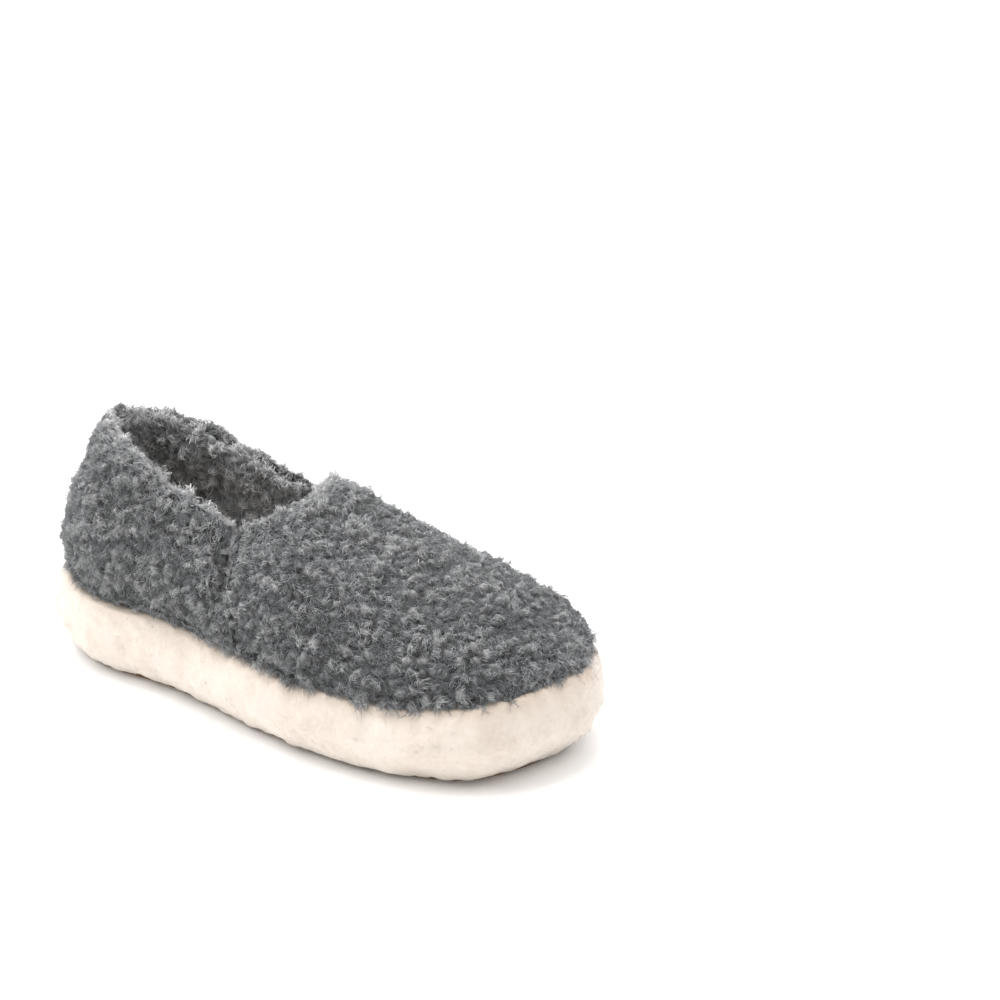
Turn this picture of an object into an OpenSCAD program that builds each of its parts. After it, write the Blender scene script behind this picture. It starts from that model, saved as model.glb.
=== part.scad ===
// Slip-on moccasin of curly wool fleece, right foot, standing on its sole.
// +Z is up, the toe points along -Y, the outer side of the foot is at -X.
// Every soft layer is a band of one surface, so the layers nest at any size.

/* [Size] */
// Overall length over the sole cover
length = 268; // [235:1:300]
// Overall width over the sole cover, at the ball of the foot
ball_width = 120; // [110:1:128]
// Width over the sole cover at the heel
heel_width = 88; // [82:1:96]

/* [Sole] */
// Height of the seam between sole cover and upper, at the side
seam_height = 34; // [31:1:35]
// How much higher that seam is at the back of the heel
heel_rise = 7.5; // [4:0.5:9]
// How much higher that seam is at the toe
toe_rise = 8.5; // [4:0.5:11]
// Suede outsole
outsole_thickness = 2.4; // [2.2:0.1:3]
// Felt board that the lining is sewn to
board_thickness = 3; // [2.5:0.5:4]
// Fleece footbed
footbed_thickness = 7; // [5:0.5:8]
// Height of the board's underside above the ground
board_height = 24; // [23:1:25]

/* [Upper] */
// Height of the top edge at the back of the heel
heel_height = 108; // [98:1:114]
// Height of the top edge at the side notches
notch_height = 85; // [80:1:90]
// Height of the top edge on the instep
throat_height = 96; // [90:1:100]
// Distance from the heel to the side notches
notch_distance = 116; // [106:1:122]
// How far the top edge reaches forward of the notches on the instep
throat_depth = 21.5; // [16:0.5:24]
// Width over the top edge at the notches, outside to outside
opening_width = 62.5; // [58:0.5:68]
// How far the upper swells out over its seam
fullness = 5; // [2:0.5:6]

/* [Fleece] */
// One layer of fleece, pile and knitted back together
fleece = 6.4; // [6:0.1:6.6]
// Room for the thread between two layers
seam_gap = 1.2; // [1.2:0.1:1.4]
// Sewing thread
thread = 0.7; // [0.5:0.1:0.8]

/* [Hidden] */

half_length = length / 2;
half_ball = ball_width / 2;
half_heel = heel_width / 2;
wall = 2 * fleece + seam_gap;       // upper wall: outer fleece, thread gap, lining
rim_radius = wall / 2;              // the top edge is rolled to a half round
seam_inset = 4;                     // the upper stands this far in from the fullest outline
board_top = board_height + board_thickness;
touch = 0.3;                        // clearance between neighbouring soft layers
ring_steps = 96;                    // points around the sole
notch_y = half_length - notch_distance;
top_inset = 24.5;                   // the heel's top edge stands this far in from the heel end
back_reach = half_length - top_inset - notch_y;
notch_turn = [0.245, 0.757];        // where the two side seams meet the sole seam, in turns
join_turn = 0.86;                   // where the ends of the sole cover strip are sewn
squareness = 0.76;                  // 1 makes the opening an ellipse, less makes its ends blunter

function blend(a, b, t) = a + (b - a) * t;
function up(h) = [0, 0, h];

// ---- Outline of the sole, fullest, heel first and then round by the outer side ----

outline_guide = [
    [0.04 * half_heel, half_length], [-0.61 * half_heel, 0.895 * half_length],
    [-half_heel, 0.68 * half_length], [-1.03 * half_heel, 0.37 * half_length],
    [-0.90 * half_ball, 0.03 * half_length], [-half_ball, -0.29 * half_length],
    [-0.94 * half_ball, -0.61 * half_length], [-0.66 * half_ball, -0.86 * half_length],
    [0.06 * half_ball, -half_length], [0.67 * half_ball, -0.89 * half_length],
    [0.93 * half_ball, -0.63 * half_length], [0.97 * half_ball, -0.31 * half_length],
    [0.80 * half_ball, 0.03 * half_length], [0.94 * half_heel, 0.37 * half_length],
    [0.97 * half_heel, 0.68 * half_length], [0.65 * half_heel, 0.905 * half_length]
];

// Point of a smooth closed curve through all the guide points, after u turns
function on_loop(guide, u) =
    let (n = len(guide), w = (u - floor(u)) * n, i = floor(w), f = w - i,
         a = guide[(i + n - 1) % n], b = guide[i % n], c = guide[(i + 1) % n], d = guide[(i + 2) % n])
    (2 * b + (c - a) * f + (2 * a - 5 * b + 4 * c - d) * f ^ 2 + (3 * b - a - 3 * c + d) * f ^ 3) / 2;

raw_outline = [for (i = [0 : ring_steps - 1]) on_loop(outline_guide, i / ring_steps)];
raw_low = [min([for (p = raw_outline) p.x]), min([for (p = raw_outline) p.y])];
raw_high = [max([for (p = raw_outline) p.x]), max([for (p = raw_outline) p.y])];
raw_middle = (raw_low + raw_high) / 2;
fit = [ball_width / (raw_high.x - raw_low.x), length / (raw_high.y - raw_low.y)];

function outline(u) =
    let (p = on_loop(outline_guide, u) - raw_middle) [p.x * fit.x, p.y * fit.y];

// Unit vector out of the outline, in the ground plane
function outward(u) =
    let (d = outline(u + 0.004) - outline(u - 0.004)) [d.y, -d.x] / norm(d);

// Point at an inset from the fullest outline and at a height
function sole_point(u, inset, z) =
    let (p = outline(u) - inset * outward(u)) [p.x, p.y, z];

function seam_z(u) =
    let (c = cos(360 * u)) seam_height + (c > 0 ? heel_rise : toe_rise) * c ^ 4;

// ---- Surface of the upper: q goes round from heel (0) by outer notch (90), throat (180), inner notch (270) ----

function seam_turn(q) =
    q <= 90 ? blend(0, notch_turn[0], q / 90)
    : q <= 270 ? blend(notch_turn[0], notch_turn[1], (q - 90) / 180)
    : blend(notch_turn[1], 1, (q - 270) / 90);

// Where the upper starts, on top of the sole cover
function foot_of(q) =
    let (u = seam_turn(q)) sole_point(u, seam_inset, seam_z(u) + seam_gap);

// The top edge
function rim_of(q) =
    let (c = cos(q), s = sin(q), back = max(c, 0), front = max(-c, 0))
    [-opening_width / 2 * sign(s) * abs(s) ^ squareness,
     notch_y + back_reach * back ^ squareness - throat_depth * front ^ squareness,
     notch_height + (heel_height - notch_height) * (1 - (1 - back) ^ 2)
         + (throat_height - notch_height) * (1 - (1 - front) ^ 1.6)];

// Handles of the curve from foot to rim
function foot_handle(q) =
    let (c = cos(q), out = outward(seam_turn(q)))
    foot_of(q) + fullness * [out.x, out.y, 0] + up(16.5 + (c > 0 ? 10 : -1) * c ^ 2);
function rim_handle(q) =
    let (c = cos(q), front = max(-c, 0))
    rim_of(q) + [-15.5 * sin(q), c > 0 ? 7 * c : 58 * c, -27 + 5.5 * front ^ 2 - 6 * max(c, 0)];

// Point of the outer surface, v from the foot (0) to the rim (1), and straight down below the foot
function skin(q, v) =
    let (a = foot_of(q), b = foot_handle(q), c = rim_handle(q), d = rim_of(q), w = 1 - v)
    v < 0 ? a + up(v) : w ^ 3 * a + 3 * v * w ^ 2 * b + 3 * v ^ 2 * w * c + v ^ 3 * d;

// Unit vector into the slipper
function inward(q, v) =
    let (k = max(v, 0.002),
         along = skin(q + 3, k) - skin(q - 3, k),
         rise = skin(q, min(k + 0.004, 1)) - skin(q, k - 0.002),
         n = cross(rise, along),
         m = [n.x, n.y, n.z * min(k / 0.15, 1)])
    m / norm(m);

// v at a distance down from the rim
function rim_v(q, e) = 1 - e / (3 * norm(rim_of(q) - rim_handle(q)));

// Half the wall's thickness at a distance down from the rim
function half_wall(e) = e >= rim_radius ? rim_radius : max(1.4, sqrt(rim_radius ^ 2 - (rim_radius - e) ^ 2));

rim_rows = [7.2, 5, 3, 1.4, 0.4];

// Rows of one meridian as [v, distance from rim]
function rows(q, steps) =
    concat([for (k = [0 : steps - 1]) [rim_v(q, 10) * k / (steps - 1), 99]],
           [for (e = rim_rows) [rim_v(q, e), e]]);

// ---- Builders of solids from grids of points ----

// A closed band: grid[i][j] with j going round a closed profile and i along it, with end caps
module band(grid) {
    n = len(grid);
    m = len(grid[0]);
    points = [for (row = grid) each row];
    faces = concat(
        [for (i = [0 : n - 2], j = [0 : m - 1]) each
            [[i * m + j, i * m + (j + 1) % m, (i + 1) * m + (j + 1) % m],
             [i * m + j, (i + 1) * m + (j + 1) % m, (i + 1) * m + j]]],
        [[for (j = [m - 1 : -1 : 0]) j]],
        [[for (j = [0 : m - 1]) (n - 1) * m + j]]);
    polyhedron(points, faces, convexity = 8);
}

// A lying solid from rings round the sole, each [inset, height]
module ring_stack(profile) {
    steps = [0 : ring_steps - 1];
    band([for (r = profile) [for (i = steps) sole_point(-i / ring_steps, r[0], r[1])]]);
}

// Cap strips by triangles between the two faces of a sheet
module sheet(outer, inner) {
    n = len(outer);
    m = len(outer[0]);
    k = n * m;
    points = concat([for (row = outer) each row], [for (row = inner) each row]);
    faces = concat(
        [for (i = [0 : n - 2], j = [0 : m - 2]) each
            [[i * m + j, i * m + j + 1, (i + 1) * m + j + 1],
             [i * m + j, (i + 1) * m + j + 1, (i + 1) * m + j]]],
        [for (i = [0 : n - 2], j = [0 : m - 2]) each
            [[k + i * m + j, k + (i + 1) * m + j + 1, k + i * m + j + 1],
             [k + i * m + j, k + (i + 1) * m + j, k + (i + 1) * m + j + 1]]],
        [for (i = [0 : n - 2], j = [0, m - 1]) each j == 0
            ? [[i * m, (i + 1) * m, k + (i + 1) * m], [i * m, k + (i + 1) * m, k + i * m]]
            : [[i * m + j, k + (i + 1) * m + j, (i + 1) * m + j], [i * m + j, k + i * m + j, k + (i + 1) * m + j]]],
        [for (j = [0 : m - 2], i = [0, n - 1]) each i == 0
            ? [[j, k + j + 1, j + 1], [j, k + j, k + j + 1]]
            : [[i * m + j, i * m + j + 1, k + i * m + j + 1], [i * m + j, k + i * m + j + 1, k + i * m + j]]]);
    polyhedron(points, faces, convexity = 10);
}

// Point in the wall of the upper
function in_wall(q, v, depth) = skin(q, v) + depth * inward(q, v);

// The outer fleece between two places round the upper
module outer_fleece(from, to, columns, steps) {
    qs = [for (i = [0 : columns]) blend(from, to, i / columns)];
    sheet([for (q = qs) [for (r = rows(q, steps)) in_wall(q, r[0], rim_radius - half_wall(r[1]))]],
          [for (q = qs) [for (r = rows(q, steps)) in_wall(q, r[0], fleece)]]);
}

// The lining behind it, which runs on down to the board
module lining_fleece(from, to, columns, steps) {
    drop = function (q) board_top + seam_gap - foot_of(q).z;
    qs = [for (i = [0 : columns]) blend(from, to, i / columns)];
    all_rows = function (q) concat([[drop(q), 99]], rows(q, steps));
    sheet([for (q = qs) [for (r = all_rows(q)) in_wall(q, r[0], fleece + seam_gap)]],
          [for (q = qs) [for (r = all_rows(q)) in_wall(q, r[0], rim_radius + half_wall(r[1]))]]);
}

// ---- Thread ----

// One straight stitch between two points
module stitch(a, b) {
    d = b - a;
    translate(a)
        rotate([0, acos(d.z / norm(d)), atan2(d.y, d.x)])
            cylinder(h = norm(d), d = thread, $fn = 16);
}

// Stitches along a row of points, each filling most of one step
module stitch_row(points) {
    color("dimgray")
        for (i = [0 : len(points) - 2])
            stitch(blend(points[i], points[i + 1], 0.12), blend(points[i], points[i + 1], 0.88));
}

// ---- Sole ----

outsole_inset = 12;
groove_inset = outsole_inset + 4;
groove_width = thread + 0.6;
groove_depth = thread + 0.4;
toe_tuck = 5;                       // under the toe the sole's edge is tucked in this much more

// Inset low on the sole, with the toe's tuck
function low_inset(u, inset) = inset + toe_tuck * max(-cos(360 * u), 0) ^ 2;

module outline_2d(inset, low = false)
    polygon([for (i = [0 : ring_steps - 1])
        let (u = i / ring_steps, p = sole_point(u, low ? low_inset(u, inset) : inset, 0)) [p.x, p.y]]);

module outsole() {
    color("sienna")
        difference() {
            linear_extrude(outsole_thickness) outline_2d(outsole_inset, true);
            translate([0, 0, -1])
                linear_extrude(groove_depth + 1)
                    difference() {
                        outline_2d(groove_inset - groove_width / 2, true);
                        outline_2d(groove_inset + groove_width / 2, true);
                    }
        }
}

module outsole_stitches() {
    count = 108;
    stitch_row([for (i = [0 : count])
        sole_point(i / count, low_inset(i / count, groove_inset), groove_depth - thread / 2 - 0.1)]);
}

// Profile of the sole cover in [inset, height as a share of the seam's], from the seam over the bulge to the underside
cover_outer = [[4, 1], [1.8, 0.88], [0.4, 0.72], [0, 0.54], [0.9, 0.35], [3.4, 0.19], [7.4, 0.085]];
fullest_share = 0.54;               // the bulge's height; below it the toe's tuck sets in
cover_inner = [[10.6, 1], [8.6, 0.86], [7, 0.72], [6.6, 0.56], [7.4, 0.42], [9.8, 0.3], [13, 0.235]];
under_inset = 26;                   // the cover is turned in under the midsole this far
under_thickness = 4.4;

function cover_profile(u) =
    let (z = seam_z(u), low = outsole_thickness + touch / 2)
    concat([for (p = cover_outer)
               let (tuck = low_inset(u, 0) * max(fullest_share - p[1], 0) / fullest_share)
               sole_point(u, p[0] + tuck, max(p[1] * z, low))],
           [sole_point(u, outsole_inset + 7, low), sole_point(u, under_inset, low),
            sole_point(u, under_inset, low + under_thickness)],
           [for (i = [len(cover_inner) - 1 : -1 : 0])
               sole_point(u, cover_inner[i][0], cover_inner[i][1] * z)]);

module sole_cover() {
    half_gap = 0.0012;
    color("cornsilk")
        band([for (i = [0 : ring_steps]) cover_profile(join_turn - blend(half_gap, 1 - half_gap, i / ring_steps))]);
}

module sole_cover_stitches() {
    stitch_row([for (f = [0.24, 0.42, 0.6, 0.78, 0.95])
        sole_point(join_turn, 4 + 5 * (1 - f) ^ 2, f * seam_z(join_turn))]);
}

module midsole() {
    z = function (share) share * seam_height;
    low = outsole_thickness + touch;
    color("gainsboro")
        ring_stack([[12.4, board_height - touch], [8.8, z(0.66)], [8.2, z(0.56)], [9.2, z(0.45)],
                    [12, z(0.36)], [under_inset - 1, low + under_thickness + touch],
                    [under_inset + touch, low + under_thickness + touch], [under_inset + touch, low]]);
}

module insole_board() {
    color("burlywood")
        translate([0, 0, board_height])
            linear_extrude(board_thickness) outline_2d(12.2);
}

module footbed() {
    base = board_top + touch;
    top = board_top + footbed_thickness;
    edge = seam_inset + wall + 0.9;
    color("cornsilk")
        ring_stack([[edge + 1, base], [edge, base + 1.5], [edge, top - 2.5], [edge + 1.2, top - 0.8], [edge + 4, top]]);
}

module insole_stitches() {
    count = 96;
    stitch_row([for (i = [0 : count])
        sole_point(i / count, seam_inset + fleece + seam_gap + fleece / 2, board_top + seam_gap / 2)]);
}

// ---- Upper ----

seam_half = 0.35;                   // half the gap at a seam of the upper, in degrees of q

module vamp() { color("dimgray") outer_fleece(90 + seam_half, 270 - seam_half, 44, 10); }
module vamp_lining() { color("gray") lining_fleece(90 + seam_half, 270 - seam_half, 44, 10); }
module quarter_outer_side() { color("slategray") outer_fleece(seam_half, 90 - seam_half, 20, 8); }
module quarter_inner_side() { color("slategray") outer_fleece(270 + seam_half, 360 - seam_half, 20, 8); }
module quarter_lining_outer_side() { color("gray") lining_fleece(seam_half, 90 - seam_half, 20, 8); }
module quarter_lining_inner_side() { color("gray") lining_fleece(270 + seam_half, 360 - seam_half, 20, 8); }

thread_depth = fleece + seam_gap / 2;

// Stitches up the wall at one place, between the layers
module wall_stitches(q, count) {
    stitch_row([for (i = [0 : count]) in_wall(q, blend(0.04, rim_v(q, 7), i / count), thread_depth)]);
}

module side_seam_stitches_outer_side() { wall_stitches(90, 9); }
module side_seam_stitches_inner_side() { wall_stitches(270, 9); }
module back_seam_stitches() { wall_stitches(0, 12); }

// Stitches just under the rim from one place round the upper to another
module rim_stitches(from, to, count) {
    stitch_row([for (i = [0 : count])
        let (q = blend(from, to, i / count)) in_wall(q, rim_v(q, 3.6), thread_depth)]);
}

module topline_stitches() {
    rim_stitches(-88, 88, 40);
}

module throat_stitches() {
    rim_stitches(93, 267, 16);
}

module sole_seam_stitches() {
    count = 104;
    stitch_row([for (i = [0 : count])
        let (u = i / count) sole_point(u, seam_inset + fleece / 2, seam_z(u) + seam_gap / 2)]);
}

outsole();
outsole_stitches();
midsole();
sole_cover();
sole_cover_stitches();
insole_board();
insole_stitches();
footbed();
vamp();
vamp_lining();
quarter_outer_side();
quarter_inner_side();
quarter_lining_outer_side();
quarter_lining_inner_side();
side_seam_stitches_outer_side();
side_seam_stitches_inner_side();
back_seam_stitches();
topline_stitches();
throat_stitches();
sole_seam_stitches();
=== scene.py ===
# %% [markdown]
# # A curly wool slipper in Blender
# The slipper has a cut pattern of its own: a vamp over the toes, two quarters round the heel, a lining
# behind each of them, a strip of cream fleece round the sole, a footbed and a suede outsole.
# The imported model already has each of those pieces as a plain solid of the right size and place.
# This file turns them into wool. It loads the plain pieces, softens a copy of each fleece piece,
# gives it curls as real fibres, and finishes the threads, felt and suede with node materials.

# %% Load the plain pieces and keep their box
import math

import bpy
import numpy as np
from mathutils import Matrix, Vector, noise
from mathutils.bvhtree import BVHTree


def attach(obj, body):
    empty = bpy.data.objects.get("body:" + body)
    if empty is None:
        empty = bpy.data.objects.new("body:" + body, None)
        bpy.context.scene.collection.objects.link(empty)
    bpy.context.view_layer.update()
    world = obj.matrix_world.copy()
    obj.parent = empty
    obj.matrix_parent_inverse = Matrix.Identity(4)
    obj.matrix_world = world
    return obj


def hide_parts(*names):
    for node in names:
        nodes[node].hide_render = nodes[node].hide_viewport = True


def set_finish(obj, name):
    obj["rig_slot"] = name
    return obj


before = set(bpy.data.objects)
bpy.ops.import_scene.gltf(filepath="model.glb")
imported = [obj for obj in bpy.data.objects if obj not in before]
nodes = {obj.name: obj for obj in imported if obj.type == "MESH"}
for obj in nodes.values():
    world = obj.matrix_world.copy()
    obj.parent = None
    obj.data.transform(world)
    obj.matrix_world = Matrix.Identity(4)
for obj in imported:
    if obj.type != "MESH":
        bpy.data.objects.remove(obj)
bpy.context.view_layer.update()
MM = 0.001
print("pieces in the packed model:", len(nodes))

# %% [markdown]
# ## Camera, floor and light
# Small goods like this are shot with a long lens from a little above, on white, in soft light that
# comes from all round. The floor is one big pale plane, the sky gives the even fill, one large soft
# lamp above and to the left gives the wool its light side, and a weaker one opens up the far side.

# %% Camera
TARGET = Vector((0, 0, 45 * MM))
AZIMUTH, ELEVATION, DISTANCE = -54.86, 24.7, 0.930
TURN, TIP, ROLL = -5.41, -2.51, 1.63      # the aim, away from straight at the slipper, in degrees
FOCAL_SHARE = 2.167                       # focal length as a share of the sensor's width


def direction(azimuth, elevation):
    a, e = math.radians(azimuth), math.radians(elevation)
    return Vector((math.sin(a) * math.cos(e), -math.cos(a) * math.cos(e), math.sin(e)))


camera = bpy.data.objects.new("camera", bpy.data.cameras.new("camera"))
bpy.context.scene.collection.objects.link(camera)
camera.location = TARGET + direction(AZIMUTH, ELEVATION) * DISTANCE
aim = direction(AZIMUTH + TURN, ELEVATION + TIP).to_track_quat("Z", "Y").to_matrix()
camera.rotation_euler = (aim @ Matrix.Rotation(math.radians(ROLL), 3, "Z")).to_euler()
camera.data.sensor_width = 36
camera.data.lens = 36 * FOCAL_SHARE
camera.data.clip_start = 0.05
bpy.context.scene.camera = camera
print("camera at", [round(x, 3) for x in camera.location])

# %% Small helpers for selecting and for the modifiers


def select_only(obj):
    """Every operator works on what is selected, so nothing else may be."""
    bpy.ops.object.select_all(action="DESELECT")
    obj.select_set(True)
    bpy.context.view_layer.objects.active = obj


def apply_modifier(obj, kind, **settings):
    select_only(obj)
    modifier = obj.modifiers.new(kind.lower(), kind)
    for key, value in settings.items():
        setattr(modifier, key, value)
    bpy.ops.object.modifier_apply(modifier=modifier.name)


# %% Floor and lamps
bpy.ops.object.select_all(action="DESELECT")
bpy.ops.mesh.primitive_plane_add(size=12, location=(0, 0, 0))
floor = bpy.context.object
floor.name = "floor"


def lamp(name, azimuth, elevation, distance, size, power):
    data = bpy.data.lights.new(name, "AREA")
    data.shape = "DISK"
    data.size = size
    data.energy = power
    obj = bpy.data.objects.new(name, data)
    obj.location = TARGET + direction(azimuth, elevation) * distance
    obj.rotation_euler = direction(azimuth, elevation).to_track_quat("Z", "Y").to_euler()
    bpy.context.scene.collection.objects.link(obj)


SKY_STRENGTH = 0.6
# name, then azimuth and elevation in degrees, distance and width in metres, and power in watts
lamp("key_lamp", -128, 48, 1.6, 0.9, 10.5)
lamp("fill_lamp", 14, 62, 1.8, 1.4, 11)
lamp("top_lamp", 165, 76, 1.5, 1.2, 27)
lamp("backdrop_lamp", 125, 35, 3.2, 2.4, 30)
world = bpy.data.worlds.new("studio")
bpy.context.scene.world = world
world.use_nodes = True
world.node_tree.nodes["Background"].inputs["Color"].default_value = (1, 1, 1, 1)
world.node_tree.nodes["Background"].inputs["Strength"].default_value = SKY_STRENGTH
bpy.context.scene.view_settings.view_transform = "Standard"

# %% [markdown]
# ## Writing materials as sums
# A material is a graph of small nodes, and most of them are sums. The class below wraps a socket, so
# that a line such as `0.5 * crown + 0.3` adds the Math nodes by itself. `Graph.add` makes any other
# node from its type, its settings and the values or links of its inputs.

# %% The socket class and the graph


class Value:
    """One output socket of a graph, with Python's operators."""

    def __init__(self, graph, socket):
        self.graph, self.socket = graph, socket

    def _math(self, operation, *terms):
        return self.graph.add("ShaderNodeMath", {"operation": operation}, dict(enumerate(terms)))

    def __add__(self, other): return self._math("ADD", self, other)
    def __radd__(self, other): return self._math("ADD", other, self)
    def __sub__(self, other): return self._math("SUBTRACT", self, other)
    def __rsub__(self, other): return self._math("SUBTRACT", other, self)
    def __mul__(self, other): return self._math("MULTIPLY", self, other)
    def __rmul__(self, other): return self._math("MULTIPLY", other, self)


class Graph:
    """A new material with a Principled shader."""

    def __init__(self, name, roughness, **constants):
        self.material = bpy.data.materials.new(name)
        self.material.use_nodes = True
        self.tree = self.material.node_tree
        self.shader = self.tree.nodes["Principled BSDF"]
        self.shader.inputs["Roughness"].default_value = roughness
        for key, value in constants.items():
            self.shader.inputs[key.replace("_", " ").title()].default_value = value

    def set(self, socket, value):
        if isinstance(value, Value):
            self.tree.links.new(value.socket, socket)
        else:
            socket.default_value = value

    def add(self, kind, settings, inputs, output=0):
        node = self.tree.nodes.new(kind)
        for key, value in settings.items():
            if key == "stops":
                self._stops(node.color_ramp, value)
            else:
                setattr(node, key, value)
        for key, value in inputs.items():
            self.set(node.inputs[key], value)
        return Value(self, node.outputs[output])

    @staticmethod
    def _stops(ramp, stops):
        while len(ramp.elements) < len(stops):
            ramp.elements.new(1)
        for element, (place, colour) in zip(ramp.elements, stops):
            element.position = place
            element.color = (*colour, 1)

    def place(self):
        return self.add("ShaderNodeTexCoord", {}, {}, "Object")

    def stretched(self, scale, turn=(0, 0, 0)):
        return self.add("ShaderNodeMapping", {}, {"Vector": self.place(), "Scale": scale, "Rotation": turn})

    def noise(self, size, detail=3.0, rough=0.6, vector=None):
        """Cloudy noise whose lumps are about that size in metres, from 0 to 1."""
        inputs = {"Vector": vector or self.place(), "Scale": 0.5 / size, "Detail": detail,
                  "Roughness": rough}
        return self.add("ShaderNodeTexNoise", {}, inputs)

    def attribute(self, name):
        return self.add("ShaderNodeAttribute", {"attribute_name": name}, {}, "Fac")

    def ramp(self, value, stops):
        return self.add("ShaderNodeValToRGB", {"stops": stops}, {0: value})

    def mix(self, share, first, second):
        return self.add("ShaderNodeMix", {"data_type": "RGBA"}, {0: share, 6: first, 7: second}, 2)

    def colour(self, value):
        self.set(self.shader.inputs["Base Color"], value)

    def bump(self, height, depth):
        """Relief of that depth in metres."""
        out = self.add("ShaderNodeBump", {}, {"Strength": 1.0, "Distance": depth, "Height": height})
        self.set(self.shader.inputs["Normal"], out)


def shade(level, warmth=0.0):
    """A grey from its brightness on screen, 0 to 255, a little warm or cool, as a linear colour."""
    screen = [level * (1 + warmth) / 255, level / 255, level * (1 - warmth) / 255]
    linear = [s / 12.92 if s <= 0.04045 else ((s + 0.055) / 1.055) ** 2.4 for s in screen]
    return tuple(min(1, max(0, s)) for s in linear)


# %% [markdown]
# ## The wools
# Grey melange wool is not dyed grey. It is a blend of nearly black, middle grey and almost white
# fibres, and the eye mixes them. So the fibres here come in a few plain shades of their own, and
# only the knitted ground under them has a pattern of streaks and slow patches. Over that pattern the
# ground carries painted shade, dark in the valleys between the curls, and painted light, lighter on
# the crowns. How high a point of the ground lies is stored on the mesh as `crown`.

# %% Fibre shades


def fibre_wool(name, level, warmth=0.0):
    graph = Graph(name, 0.85, sheen_weight=0.25, sheen_roughness=0.5)
    graph.colour((*shade(level, warmth), 1))
    return graph.material


GREY_WOOLS = [fibre_wool("charcoal_wool", 106, -0.02), fibre_wool("slate_wool", 136, -0.012),
              fibre_wool("steel_wool", 160, -0.01), fibre_wool("silver_wool", 186)]
# painted light: the lining is the same grey wool as the upper, given much lighter shades to stand in for
# the light that hardly reaches inside the slipper
LIGHTENED_LINING_WOOLS = [fibre_wool("soot_wool", 166), fibre_wool("iron_wool", 212),
                fibre_wool("ash_wool", 242, 0.005)]
CREAM_WOOLS = [fibre_wool("oat_wool", 203, 0.056), fibre_wool("milk_wool", 210, 0.048)]
print("fibre shades:", len(GREY_WOOLS + LIGHTENED_LINING_WOOLS + CREAM_WOOLS))

# %% Ground under the curls


def curly_ground(name, dark, middle, light):
    graph = Graph(name, 0.9, sheen_weight=0.2, sheen_roughness=0.5)
    crown = graph.attribute("crown")
    strands = graph.noise(0.9 * MM, 4, 0.7, graph.stretched((1, 1, 0.45), (0.5, 0.2, 0)))
    patches = graph.noise(22 * MM, 2)
    # painted shade and light: the crown term darkens the valleys between the curls and lightens the crowns;
    # the streaks and slow patches are the blend's own
    height = 0.5 * crown + 0.75 * strands + 0.25 * patches - 0.25
    stops = [(0.22, shade(dark, -0.02)), (0.5, shade(middle, -0.01)), (0.8, shade(light))]
    graph.colour(graph.ramp(height, stops))
    graph.bump(strands, 0.8 * MM)
    return graph.material


def cream_ground(name):
    graph = Graph(name, 0.9, sheen_weight=0.3, sheen_roughness=0.5)
    nap = graph.noise(1.1 * MM, 4, 0.65)
    patches = graph.noise(12 * MM, 3, 0.6, graph.stretched((1, 1, 0.5)))
    painted_shade_under_wool = graph.attribute("near_grey")
    stops = [(0.3, shade(187, 0.068)), (0.5, shade(199, 0.056)), (0.7, shade(208, 0.048))]
    cream = graph.ramp(0.4 * nap + 0.6 * patches, stops)
    # painted shadow: a warmer, darker cream right under the grey wool, where the wool shades the strip
    graph.colour(graph.mix(0.7 * painted_shade_under_wool, cream, (*shade(178, 0.1), 1)))
    graph.bump(nap, 0.25 * MM)
    return graph.material


GREY_GROUND = curly_ground("grey_fleece_ground", 22, 76, 130)
# painted light: the lining's ground is lighter than the upper's, for the light that hardly reaches inside
LIGHTENED_LINING_GROUND = curly_ground("lining_fleece_ground", 66, 128, 162)
CREAM_GROUND = cream_ground("cream_fleece_ground")

# %% Suede, felt, foam, thread and the floor


def suede():
    graph = Graph("brown_suede", 0.9, sheen_weight=0.3, sheen_roughness=0.4)
    nap = graph.noise(0.7 * MM, 5, 0.75)
    brushed = graph.noise(9 * MM, 3, 0.6, graph.stretched((1, 0.35, 1)))
    stops = [(0.3, shade(86, 0.24)), (0.55, shade(118, 0.22)), (0.8, shade(148, 0.2))]
    graph.colour(graph.ramp(0.4 * nap + 0.6 * brushed, stops))
    graph.bump(nap, 0.3 * MM)
    return graph.material


def pressed(name, level, warmth, size, depth):
    """A pressed or foamed sheet: small cells, little contrast."""
    graph = Graph(name, 0.95)
    cells = graph.noise(size, 4, 0.7)
    graph.colour(graph.ramp(cells, [(0.3, shade(level * 0.85, warmth)), (0.7, shade(level, warmth))]))
    graph.bump(cells, depth)
    return graph.material


def thread(name, level, warmth):
    """Sewing thread: its plies show as fine slanting bands."""
    graph = Graph(name, 0.6, sheen_weight=0.2)
    plies = graph.add("ShaderNodeTexWave", {"bands_direction": "DIAGONAL"},
                      {"Vector": graph.place(), "Scale": 1 / (2.2 * MM), "Distortion": 0.6})
    graph.colour(graph.ramp(plies, [(0.2, shade(level * 0.65, warmth)), (0.8, shade(level, warmth))]))
    graph.bump(plies, 0.08 * MM)
    return graph.material


def floor_paper():
    graph = Graph("floor_paper", 0.8)
    grain = graph.noise(60 * MM, 2)
    graph.colour(graph.ramp(grain, [(0.3, shade(252)), (0.7, shade(254))]))
    return graph.material


SUEDE = suede()
FELT = pressed("pressed_felt", 190, 0.1, 1.5 * MM, 0.3 * MM)
FOAM = pressed("sole_foam", 226, 0.02, 0.8 * MM, 0.15 * MM)
GREY_THREAD = thread("grey_thread", 92, -0.01)
BROWN_THREAD = thread("brown_thread", 110, 0.2)
CREAM_THREAD = thread("cream_thread", 232, 0.05)
floor.data.materials.append(floor_paper())

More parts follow.
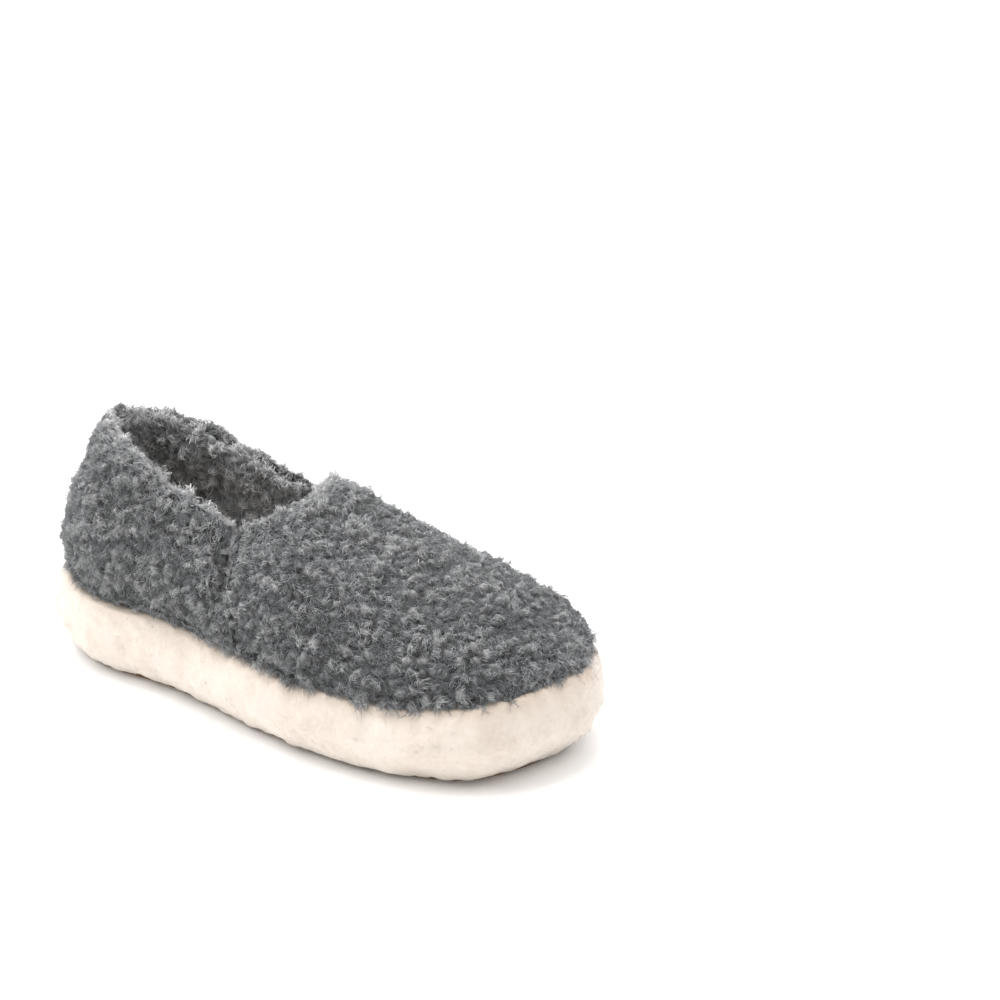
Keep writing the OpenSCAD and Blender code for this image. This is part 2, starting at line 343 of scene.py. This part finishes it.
# %% Give the carried-over pieces their finish
FINISHES = {"outsole": SUEDE, "outsole_stitches": BROWN_THREAD, "midsole": FOAM, "insole_board": FELT,
            "sole_cover_stitches": CREAM_THREAD}
for name, piece in nodes.items():
    piece.data.materials.clear()
    piece.data.materials.append(FINISHES.get(name, GREY_THREAD))

# %% [markdown]
# ## Softening a panel
# A sewn fleece panel is a shell that swells between its seams. Here a copy of the plain piece is
# merged into one closed skin, remeshed into even squares, and blown up a little by the cloth
# simulation with no gravity, as a cushion would be. It starts slightly too thin and may move only
# so far, so that it ends near its real thickness and stays clear of its neighbours.

# %% Copy, merge and remesh


def bare_copy(node, name):
    """A copy of a plain piece's mesh as a new object of its own, merged into one skin."""
    piece = bpy.data.objects.new(name, nodes[node].data.copy())
    bpy.context.scene.collection.objects.link(piece)
    piece.data.materials.clear()
    select_only(piece)
    bpy.ops.object.mode_set(mode="EDIT")
    bpy.ops.mesh.select_all(action="SELECT")
    bpy.ops.mesh.remove_doubles(threshold=0.01 * MM)
    bpy.ops.object.mode_set(mode="OBJECT")
    return piece


def remesh(piece, size):
    select_only(piece)
    piece.data.remesh_voxel_size = size
    piece.data.use_remesh_preserve_volume = True
    bpy.ops.object.voxel_remesh()


def corners(piece):
    points = np.empty(len(piece.data.vertices) * 3)
    piece.data.vertices.foreach_get("co", points)
    return points.reshape(-1, 3)


def normals(piece):
    out = np.empty(len(piece.data.vertices) * 3)
    piece.data.vertices.foreach_get("normal", out)
    return out.reshape(-1, 3)


def set_corners(piece, points):
    piece.data.vertices.foreach_set("co", points.ravel())
    piece.data.update()


# %% Swell it with the cloth simulation
SWELL_FRAMES = 20


def swell(piece, shrink, reach):
    """Thins the skin by shrink, blows it up, and lets no point end further than reach from there."""
    start = corners(piece) - normals(piece) * shrink
    set_corners(piece, start)
    select_only(piece)
    cloth = piece.modifiers.new("swell", "CLOTH")
    cloth.settings.use_pressure = True
    cloth.settings.uniform_pressure_force = 4
    cloth.settings.effector_weights.gravity = 0
    cloth.settings.tension_stiffness = 25
    cloth.settings.compression_stiffness = 25
    cloth.settings.bending_stiffness = 4
    cloth.settings.quality = 4
    cloth.point_cache.frame_start, cloth.point_cache.frame_end = 1, SWELL_FRAMES
    for step in range(1, SWELL_FRAMES + 1):
        bpy.context.scene.frame_set(step)
    bpy.ops.object.modifier_apply(modifier="swell")
    bpy.context.scene.frame_set(1)
    moved = corners(piece) - start
    length = np.linalg.norm(moved, axis=1, keepdims=True)
    set_corners(piece, start + moved * np.minimum(1, reach / np.maximum(length, 1e-9)))


# %% Search trees over the plain pieces


def tree_of(pieces):
    """A search tree over pieces, each given as an object or as the name of a plain piece."""
    points, faces = [], []
    for piece in pieces:
        mesh = (nodes[piece] if isinstance(piece, str) else piece).data
        first = len(points)
        points += [v.co.copy() for v in mesh.vertices]
        faces += [[first + i for i in p.vertices] for p in mesh.polygons]
    return BVHTree.FromPolygons(points, faces)


UPPER_PANELS = ["vamp", "quarter_outer_side", "quarter_inner_side"]
SOLIDS = [name for name in nodes if not name.endswith("stitches") and "_stitches_" not in name]
print("solids that pile may not grow into:", len(SOLIDS))


# %% [markdown]
# ## Curls in the ground
# The pile is so thick that the panel itself looks lumpy, most of all along the collar. Two layers
# of relief make those lumps: rounded cells of about 5 mm for the single curls, and slow swells of
# about 12 mm. The rim has wider and higher lumps on top of that. The mesh keeps as `crown` how high
# each point lies in its cell, a little more near the rim. The ground's colour and the fibres follow
# it: painted shade darkens the valleys and painted light lightens the crowns.

# %% Distances, and which parts of a panel are open
OFF_THE_SKIN = 0.3 * MM                          # where a ray starts, so that it misses its own panel


def distance_to(pieces, points):
    tree = tree_of(pieces)
    return np.array([tree.find_nearest(Vector(p))[3] for p in points])


def fade(distances, reach):
    """1 at no distance, a third at reach, and almost nothing at twice the reach."""
    return np.exp(-((distances / reach) ** 2))


def facing_nothing(own_node, points, outward, clear=5 * MM):
    """For each point, whether no other piece's solid is as near as clear along the normal."""
    tree = tree_of([name for name in SOLIDS if name != own_node])
    return np.array([tree.ray_cast(Vector(p + OFF_THE_SKIN * n), Vector(n), clear)[0] is None
                     for p, n in zip(points, outward)])


def evened(piece, values, rounds=5):
    """Averages values over the mesh's edges a few times, so that they fade instead of jumping."""
    ends = np.empty(len(piece.data.edges) * 2, np.int32)
    piece.data.edges.foreach_get("vertices", ends)
    a, b = ends.reshape(-1, 2).T
    degree = np.bincount(ends, minlength=len(values)) + 1
    for _ in range(rounds):
        total = values + np.bincount(a, values[b], len(values)) + np.bincount(b, values[a], len(values))
        values = total / degree
    return values


# %% Relief
SWELL_SIZE = 12 * MM                             # how wide the slow swells are
RIM_REACH = 4.5 * MM                             # how far from the rim seam its roll goes
RIM_LUMP, RIM_LUMP_SIZE = 6.5 * MM, 10 * MM      # how high and how wide the lumps along the rim are
RIM_REST = 3.6 * MM                              # how much fuller the rim is away from its two notches
NOTCH_REACH = 13 * MM                            # how far each way a notch thins it
INNER_REST = 2.6 * MM                            # fuller on the inner side of the foot, less worn there
SEAM_SHARE = 0.15                                # how much of the relief is left inside the seams
vamp_corners = [v.co for v in nodes["vamp"].data.vertices]
VAMP_TOP = max(p.z for p in vamp_corners)
NOTCH_Y = max(p.y for p in vamp_corners if p.z > 0.7 * VAMP_TOP)


def relief(piece, node, pile, cell, cell_depth, swell_depth, rim_of=None):
    """Sinks the open faces by the pile's height, and lifts them in rounded cells and slow swells."""
    points, outward = corners(piece), normals(piece)
    is_open = evened(piece, facing_nothing(node, points, outward).astype(float))
    crown = np.empty(len(points))
    slow = np.empty(len(points))
    for i, p in enumerate(points):
        near = noise.voronoi(Vector(p) / cell)[0]
        crown[i] = min(1.0, (near[1] - near[0]) * 1.6)
        slow[i] = noise.noise(Vector(p) / SWELL_SIZE)
    waves = cell_depth * (crown - 0.6) + swell_depth * slow
    lift = is_open * (waves - pile) + SEAM_SHARE * (1 - is_open) * waves
    # light is stored as `crown`, and the ground's colour uses it to paint shade into the valleys and light
    # onto the crowns; near the rim it is raised, so the ground is lighter there
    light = crown.copy()
    if rim_of is not None:
        rim = fade(distance_to([rim_of], points), RIM_REACH) * is_open
        near = np.array([noise.voronoi(Vector(p) / RIM_LUMP_SIZE)[0][0] for p in points])
        away = 1 - fade(points[:, 1] - NOTCH_Y, NOTCH_REACH)
        inner = np.clip(0.5 + points[:, 0] / (40 * MM), 0, 1)
        lumps = RIM_LUMP * np.clip(1 - 2 * near, -0.3, 1) * (0.3 + 0.7 * away)
        light = np.minimum(1, crown + 0.4 * rim)
        lift += rim * (lumps + RIM_REST * (away - 0.7) + INNER_REST * inner)
    points += outward * lift[:, None]
    if node in UPPER_PANELS:
        points += overhang(points, outward, is_open)
    set_corners(piece, points)
    store(piece, "crown", light)


HEM_SAG, TOE_SAG = 1.5 * MM, 6 * MM              # sag of the bottom edge all round, and more at the toes


def overhang(points, outward, is_open):
    """How far the pile at the bottom edge sags over the sole strip, most beside the small toes."""
    near = fade(distance_to(["sole_cover"], points), 6 * MM) * is_open
    forward = np.clip((20 * MM - points[:, 1]) / (80 * MM), 0, 1)
    outer_side = np.clip(0.5 - points[:, 0] / (60 * MM), 0, 1)
    drop = near * (HEM_SAG + TOE_SAG * (forward * outer_side))
    side = outward * [1, 1, 0]
    side /= np.maximum(np.linalg.norm(side, axis=1, keepdims=True), 0.3)
    return drop[:, None] * (0.55 * side - [0, 0, 1])


def store(piece, name, values):
    attribute = piece.data.attributes.new(name, "FLOAT", "POINT")
    attribute.data.foreach_set("value", np.asarray(values, np.float32))


def soft_panel(node, ground, slot, pile, voxel=2.9 * MM, cell=5 * MM, cell_depth=2.9 * MM,
               swell_depth=1.9 * MM, rim_of=None):
    """The fleece of one plain piece. rim_of is the piece that it meets along the rim, if it has one."""
    piece = bare_copy(node, node + "_fleece")
    remesh(piece, voxel)
    swell(piece, 0.7 * MM, 1.2 * MM)
    apply_modifier(piece, "SUBSURF", levels=1, render_levels=1)
    relief(piece, node, pile, cell, cell_depth, swell_depth, rim_of)
    piece.data.materials.append(ground)
    piece.data.shade_smooth()
    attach(piece, "root")
    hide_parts(node)
    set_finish(piece, slot)
    print(piece.name, len(piece.data.polygons), "faces")
    return piece


# %% Panels of the upper and of the lining
LINING_OF = {"vamp": "vamp_lining", "quarter_outer_side": "quarter_lining_outer_side",
             "quarter_inner_side": "quarter_lining_inner_side"}
panels = {}
for node, lining in LINING_OF.items():
    panels[node] = soft_panel(node, GREY_GROUND, "grey_fleece", pile=2 * MM, rim_of=lining)
    panels[lining] = soft_panel(lining, LIGHTENED_LINING_GROUND, "dark_grey_fleece", pile=0.8 * MM,
                                voxel=3.4 * MM, rim_of=node)

# %% [markdown]
# ## The cream pieces
# The strip round the sole and the footbed are clipped shorter than the upper. Their pile is so fine
# that it reads as plush: soft, almost smooth, with shallow dents. The strip is wrapped round soft
# foam, so it bulges a little at half its height and sags round the edge of the outsole. Right under
# the grey wool the strip gets a painted shadow, a warmer, darker cream that fades with the distance
# from the upper.

# %% Sole strip and footbed
for node, dents, pile in (("sole_cover", 1.3 * MM, 0.0), ("footbed", 0.8 * MM, 0.5 * MM)):
    panels[node] = soft_panel(node, CREAM_GROUND, "cream_fleece", pile=pile, voxel=3.2 * MM, cell=8 * MM,
                              cell_depth=0.9 * MM, swell_depth=dents)

# %% Bulge, sag and painted shade of the sole strip
BELLY_HEIGHT, BELLY_REACH, BELLY_DEPTH = 20 * MM, 8 * MM, 1.2 * MM
SAG, SAG_REACH = 2.6 * MM, 4.5 * MM
OFF_THE_FLOOR = 0.3 * MM
DOWN = np.array([0, 0, -1.0])
strip = panels["sole_cover"]
points = corners(strip)
nothing_below = facing_nothing("sole_cover", points, np.broadcast_to(DOWN, points.shape), 20 * MM)
hangs = evened(strip, nothing_below.astype(float))
low = fade(distance_to(["outsole"], points), SAG_REACH) * hangs
belly = fade(points[:, 2] - BELLY_HEIGHT, BELLY_REACH) * hangs
points += normals(strip) * BELLY_DEPTH * belly[:, None]
points[:, 2] = np.maximum(points[:, 2] - SAG * low, OFF_THE_FLOOR)
set_corners(strip, points)
to_the_wool = distance_to([panels[name] for name in UPPER_PANELS], points)
# painted shadow: how near each point of the strip is to the grey wool, which sets how much the cream is
# darkened
store(strip, "near_grey", fade(to_the_wool, 4.5 * MM))
print("lowest point of the strip:", round(points[:, 2].min() / MM, 2), "mm")

# %% [markdown]
# ## Curls
# Wool grows in locks: a few dozen fibres that leave the skin together, lean over with the nap, and
# wind round each other towards a common tip. A lock here is a handful of thin closed tubes, each
# standing for a strand of many fibres. An ordinary primitive can't give that, so the tubes are
# worked out with numpy, thousands at once, and written into one mesh for each shade of wool.
#
# The roots are scattered evenly over a panel, except where the panel faces one of its neighbours
# across a seam, where no pile could stand.

# %% Where the locks are rooted
THROWS = 7                                       # points thrown for each place, so that few stay empty
CELL_ROW = 4096                                  # more cells than any panel is long or wide
PILE_CLEAR = 2.2 * MM                            # room that a lock needs in front of its root


def unit(vectors):
    return vectors / np.maximum(np.linalg.norm(vectors, axis=-1, keepdims=True), 1e-12)


def scatter(piece, own_node, spacing, rng, where):
    """Roots, normals and crown heights on a panel's open faces, about one in each cube of side spacing."""
    mesh = piece.data
    mesh.calc_loop_triangles()
    triangles = np.empty(len(mesh.loop_triangles) * 3, np.int32)
    mesh.loop_triangles.foreach_get("vertices", triangles)
    triangles = triangles.reshape(-1, 3)
    a, b, c = (corners(piece)[triangles[:, i]] for i in range(3))
    area = np.linalg.norm(np.cross(b - a, c - a), axis=1) / 2
    if where is not None:
        area *= where((a + b + c) / 3)
    wanted = int(THROWS * area.sum() / spacing ** 2)
    pick = rng.choice(len(area), wanted, p=area / area.sum())
    u, v = rng.random((2, wanted, 1))
    flip = u + v > 1
    u, v = np.where(flip, 1 - u, u), np.where(flip, 1 - v, v)
    points = a[pick] + u * (b[pick] - a[pick]) + v * (c[pick] - a[pick])
    outward = unit(normals(piece)[triangles[pick]].mean(axis=1))
    crown = np.empty(len(mesh.vertices), np.float32)
    mesh.attributes["crown"].data.foreach_get("value", crown)
    crown = crown[triangles[pick]].mean(axis=1)
    cells = np.floor(points / spacing).astype(np.int64)
    first = np.unique(cells @ np.array([1, CELL_ROW, CELL_ROW ** 2]), return_index=True)[1]
    points, outward, crown = points[first], outward[first], crown[first]
    free = facing_nothing(own_node, points, outward, PILE_CLEAR)
    return points[free], outward[free], crown[free]


# %% Tubes along many paths at once


def tubes(name, paths, radii, root_wool, wool, parent):
    """One mesh of closed three-sided tubes that end in a point, a shade darker up to the second ring.

    paths is strands x rings x 3, and radii is strands x rings."""
    strands, rings = radii.shape
    along = unit(np.gradient(paths, axis=1))
    side = unit(np.cross(along, unit(np.random.default_rng(5).normal(size=(strands, 1, 3)))))
    up = np.cross(along, side)
    angle = np.arange(3) * 2 * math.pi / 3
    ring = side[:, :, None] * np.cos(angle)[:, None] + up[:, :, None] * np.sin(angle)[:, None]
    skin = (paths[:, :-1, None] + radii[:, :-1, None, None] * ring[:, :-1]).reshape(strands, -1, 3)
    points = np.concatenate([skin, paths[:, -1:]], axis=1)
    faces = [[0, 2, 1]]
    for r in range(rings - 2):
        for i in range(3):
            a, b = 3 * r + i, 3 * r + (i + 1) % 3
            faces += [[a, b, b + 3], [a, b + 3, a + 3]]
    last = 3 * (rings - 2)
    faces += [[last + i, last + (i + 1) % 3, last + 3] for i in range(3)]
    one = np.array(faces)
    corner = (one[None] + np.arange(strands)[:, None, None] * points.shape[1]).ravel()
    mesh = bpy.data.meshes.new(name)
    mesh.vertices.add(points.shape[0] * points.shape[1])
    mesh.vertices.foreach_set("co", points.ravel())
    mesh.loops.add(len(corner))
    mesh.loops.foreach_set("vertex_index", corner.astype(np.int32))
    mesh.polygons.add(len(corner) // 3)
    mesh.polygons.foreach_set("loop_start", np.arange(0, len(corner), 3, dtype=np.int32))
    near_root = 1 + 6                            # the end cap, and the six faces up to the second ring
    slot = np.zeros(len(one), np.int32)
    slot[near_root:] = 1
    mesh.materials.append(root_wool)
    mesh.materials.append(wool)
    mesh.polygons.foreach_set("material_index", np.tile(slot, strands))
    mesh.update(calc_edges=True)
    mesh.shade_smooth()
    piece = bpy.data.objects.new(name, mesh)
    bpy.context.scene.collection.objects.link(piece)
    piece.parent = parent
    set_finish(piece, parent["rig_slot"])
    print(name, strands, "strands,", len(corner) // 3, "triangles")


# %% One lock, many times
ROOT_DEPTH = 0.5 * MM                            # how deep the strands start in the ground


def locks(panel, node, spacing, strands, length, lift, thickness, nap, wander, curl, seed,
          rings=3, tuft=1.5 * MM, where=None, tone=None, adjust=None):
    """The strands of all the locks on a panel: their paths, radii, and how light each of them is.

    nap is the way they lean, and wander how far each may turn from it. tuft is the radius of a lock
    at its root, curl that of its winding, and lift how high its middle stands off the ground."""
    rng = np.random.default_rng(seed)
    root, outward, crown = scatter(panel, node, spacing, rng, where)
    count = len(root)
    lean = np.tile(np.asarray(nap, float), (count, 1))
    long = rng.uniform(0.75, 1.25, count) * length
    if adjust is not None:
        lean, long = adjust(root, lean, long)
    lean = unit(lean - outward * (lean * outward).sum(axis=1, keepdims=True))
    across = np.cross(outward, lean)
    turn = rng.normal(0, wander, (count, 1))
    lean, across = lean * np.cos(turn) + across * np.sin(turn), across * np.cos(turn) - lean * np.sin(turn)
    high = rng.uniform(0.7, 1.2, count) * lift * (0.45 + 0.9 * crown)
    # painted shade and light: locks rooted in the valleys get darker shades and those on the crowns lighter
    # ones; the random spread is the blend's own
    light = 0.5 + 1.1 * (crown - 0.5) + rng.uniform(-0.2, 0.2, count)
    if tone is not None:
        light += tone(root)

    which = np.repeat(np.arange(count), strands)
    total = len(which)
    s = np.linspace(0, 1, rings)[None, :, None]
    own = lambda values: values[which].reshape(total, 1, -1)
    spin = rng.uniform(0, 2 * math.pi, (total, 1, 1))
    stray = rng.normal(0, 0.4, (total, 1, 1))
    around = np.cos(spin) * own(lean) + np.sin(spin) * own(across)
    offset = tuft * np.sqrt(rng.random((total, 1, 1))) * around
    phase = rng.uniform(0, 2 * math.pi, count)
    twist = rng.choice([-1, 1], count) * rng.uniform(2.5, 5.5, count)
    theta = own(phase) + own(twist) * s + rng.normal(0, 0.5, (total, 1, 1))
    reach = own(long) * rng.uniform(0.7, 1.15, (total, 1, 1))
    height = own(high) * rng.uniform(0.6, 1.25, (total, 1, 1))
    swing = curl * s * (1.2 - 0.5 * s)
    start = own(root) - ROOT_DEPTH * own(outward) + offset * (1 - 0.6 * s)
    forward = (own(lean) * np.cos(stray) + own(across) * np.sin(stray)) * reach * s
    paths = (start + forward + own(outward) * height * np.sin(0.93 * math.pi * s)
             + swing * (np.cos(theta) * own(across) + np.sin(theta) * own(outward)))
    taper = np.interp(np.linspace(0, 1, rings), [0, 0.35, 0.7, 1], [0.9, 1.1, 0.9, 0.4])
    radii = rng.uniform(0.75, 1.25, (total, 1)) * thickness / 2 * taper
    return paths, radii, light[which] + rng.uniform(-0.35, 0.35, total)


def grow(panel, node, wools, crops):
    """Builds the strands of one panel, sorted into its shades of wool."""
    light = np.concatenate([crop[2] for crop in crops])
    shares = np.arange(1, len(wools)) / len(wools)
    edges = np.quantile(light, shares) * 0.5 + 0.5 * shares
    kind = np.digitize(light, edges)
    paths, radii = (np.concatenate([crop[i] for crop in crops]) for i in (0, 1))
    for i, wool in enumerate(wools):
        mine = kind == i
        name = f"{node}_curls_{wool.name.split('_')[0]}"
        tubes(name, paths[mine], radii[mine], wools[max(i - 1, 0)], wool, panel)


def patches(size, depth, seed):
    """Slow lighter and darker patches of the blend."""
    shift = Vector((seed * 7.3, seed * 1.7, 0))
    return lambda points: depth * np.array([noise.noise(Vector(p) / size + shift) for p in points])


# %% [markdown]
# ## The nap of each panel
# The pile leans with gravity and with wear: down and a little forward on the sides, along the foot
# on top of the toes. Three borders get a crop of locks of their own. At the bottom edge they hang
# straight down over the cream strip, by different lengths, and hide the seam. Beside the seams of
# the upper they lean across it. Along the rim, where both fleeces roll over, they are light, long
# and full.

# %% Curls of the upper


def leaning_to(names, points):
    """The way from each point to the nearest of some pieces, and how far it is."""
    tree = tree_of(names)
    found = [tree.find_nearest(Vector(p)) for p in points]
    return unit(np.array([hit[0] for hit in found]) - points), np.array([hit[3] for hit in found])


def over_rim(other_fleece):
    """Leans locks over the rim, towards the other fleece there."""
    def adjust(points, lean, long):
        across, _ = leaning_to([other_fleece], points)
        return across + 0.4 * lean, long
    return adjust


def within(reach, names):
    """A test for the points that are within reach of some plain pieces."""
    return lambda points: distance_to(names, points) < reach


def upper_crops(node, nap, seed):
    """The four crops of one panel: all over it, along the rim, beside its seams, and along its hem."""
    others = [name for name in UPPER_PANELS if name != node]
    lining = LINING_OF[node]

    def tone(points):
        rim = fade(distance_to([lining], points), 3.5 * MM)
        height = points[:, 2] / VAMP_TOP
        # painted light: the vamp is lighter towards its top, where the light falls, and darker down its
        # sides; the quarters are a little lighter all over
        painted_light = 0.5 * (height - 0.75) if node == "vamp" else 0.15
        return patches(11 * MM, 0.35, 3)(points) + 0.25 * rim + painted_light

    def by_seam(points, lean, long):
        across, far = leaning_to(others, points)
        seam = 0.8 * fade(far, 4 * MM)[:, None]
        edge = fade(distance_to(["sole_cover"], points), 4 * MM)[:, None]
        lean = lean * (1 - seam) + across * seam
        longer = 1 + 0.4 * edge[:, 0] + 0.3 * seam[:, 0]
        return lean * (1 - edge) + DOWN * edge, long * longer

    def hanging(points, lean, long):
        uneven = 0.5 + 1.1 * (patches(5 * MM, 0.9, 9)(points) + 0.5)
        return np.tile(DOWN, (len(points), 1)), long * uneven

    wool = dict(strands=8, length=3.5 * MM, lift=1.9 * MM, thickness=0.19 * MM, wander=0.9, curl=0.9 * MM,
                nap=nap, tuft=1.8 * MM, tone=tone)
    rim, seam = (wool | dict(length=size, lift=3 * MM) for size in (4.6 * MM, 4.2 * MM))
    hem = wool | dict(strands=6, length=5 * MM, lift=0.7 * MM, thickness=0.16 * MM, wander=0.6)
    crop = lambda **settings: locks(panels[node], node, **settings)
    return [crop(spacing=2.5 * MM, seed=seed, adjust=by_seam, **wool),
            crop(spacing=2.2 * MM, seed=seed + 10, adjust=over_rim(lining),
                 where=within(4.2 * MM, [lining]), **rim),
            crop(spacing=2.4 * MM, seed=seed + 20, adjust=by_seam, where=within(3.5 * MM, others), **seam),
            crop(spacing=2.1 * MM, seed=seed + 30, adjust=hanging,
                 where=within(3.5 * MM, ["sole_cover"]), **hem)]


NAPS = {"vamp": (0.35, -0.8, -0.55), "quarter_outer_side": (0, -0.25, -1),
        "quarter_inner_side": (0, -0.25, -1)}
for seed, (node, nap) in enumerate(NAPS.items(), 11):
    grow(panels[node], node, GREY_WOOLS, upper_crops(node, nap, seed))

# %% Curls of the lining
LINING_WOOL = dict(strands=7, length=4.4 * MM, lift=1.9 * MM, thickness=0.2 * MM, wander=0.9, curl=0.8 * MM,
                   nap=(0, 0, -1), tuft=2 * MM, tone=patches(11 * MM, 0.3, 5))


def lining_crops(node, outer, seed):
    """Two crops: one where the mouth lets the lining be seen, and a fuller one along the rim."""
    in_view = lambda points: points[:, 1] > -50 * MM
    rim_wool = LINING_WOOL | dict(lift=2.8 * MM)
    return [locks(panels[node], node, spacing=3.2 * MM, seed=seed, where=in_view, **LINING_WOOL),
            locks(panels[node], node, spacing=2.5 * MM, seed=seed + 10, adjust=over_rim(outer),
                  where=within(4 * MM, [outer]), **rim_wool)]


for seed, (outer, node) in enumerate(LINING_OF.items(), 61):
    grow(panels[node], node, LIGHTENED_LINING_WOOLS, lining_crops(node, outer, seed))

# %% Short plush of the cream pieces
PLUSH = dict(strands=3, length=2 * MM, lift=0.8 * MM, thickness=0.12 * MM, wander=0.9, curl=0.3 * MM,
             nap=(0, 0, -1), tuft=1.3 * MM)
for seed, node, spacing in ((71, "sole_cover", 2.9 * MM), (72, "footbed", 4.5 * MM)):
    grow(panels[node], node, CREAM_WOOLS, [locks(panels[node], node, seed=seed, spacing=spacing, **PLUSH)])
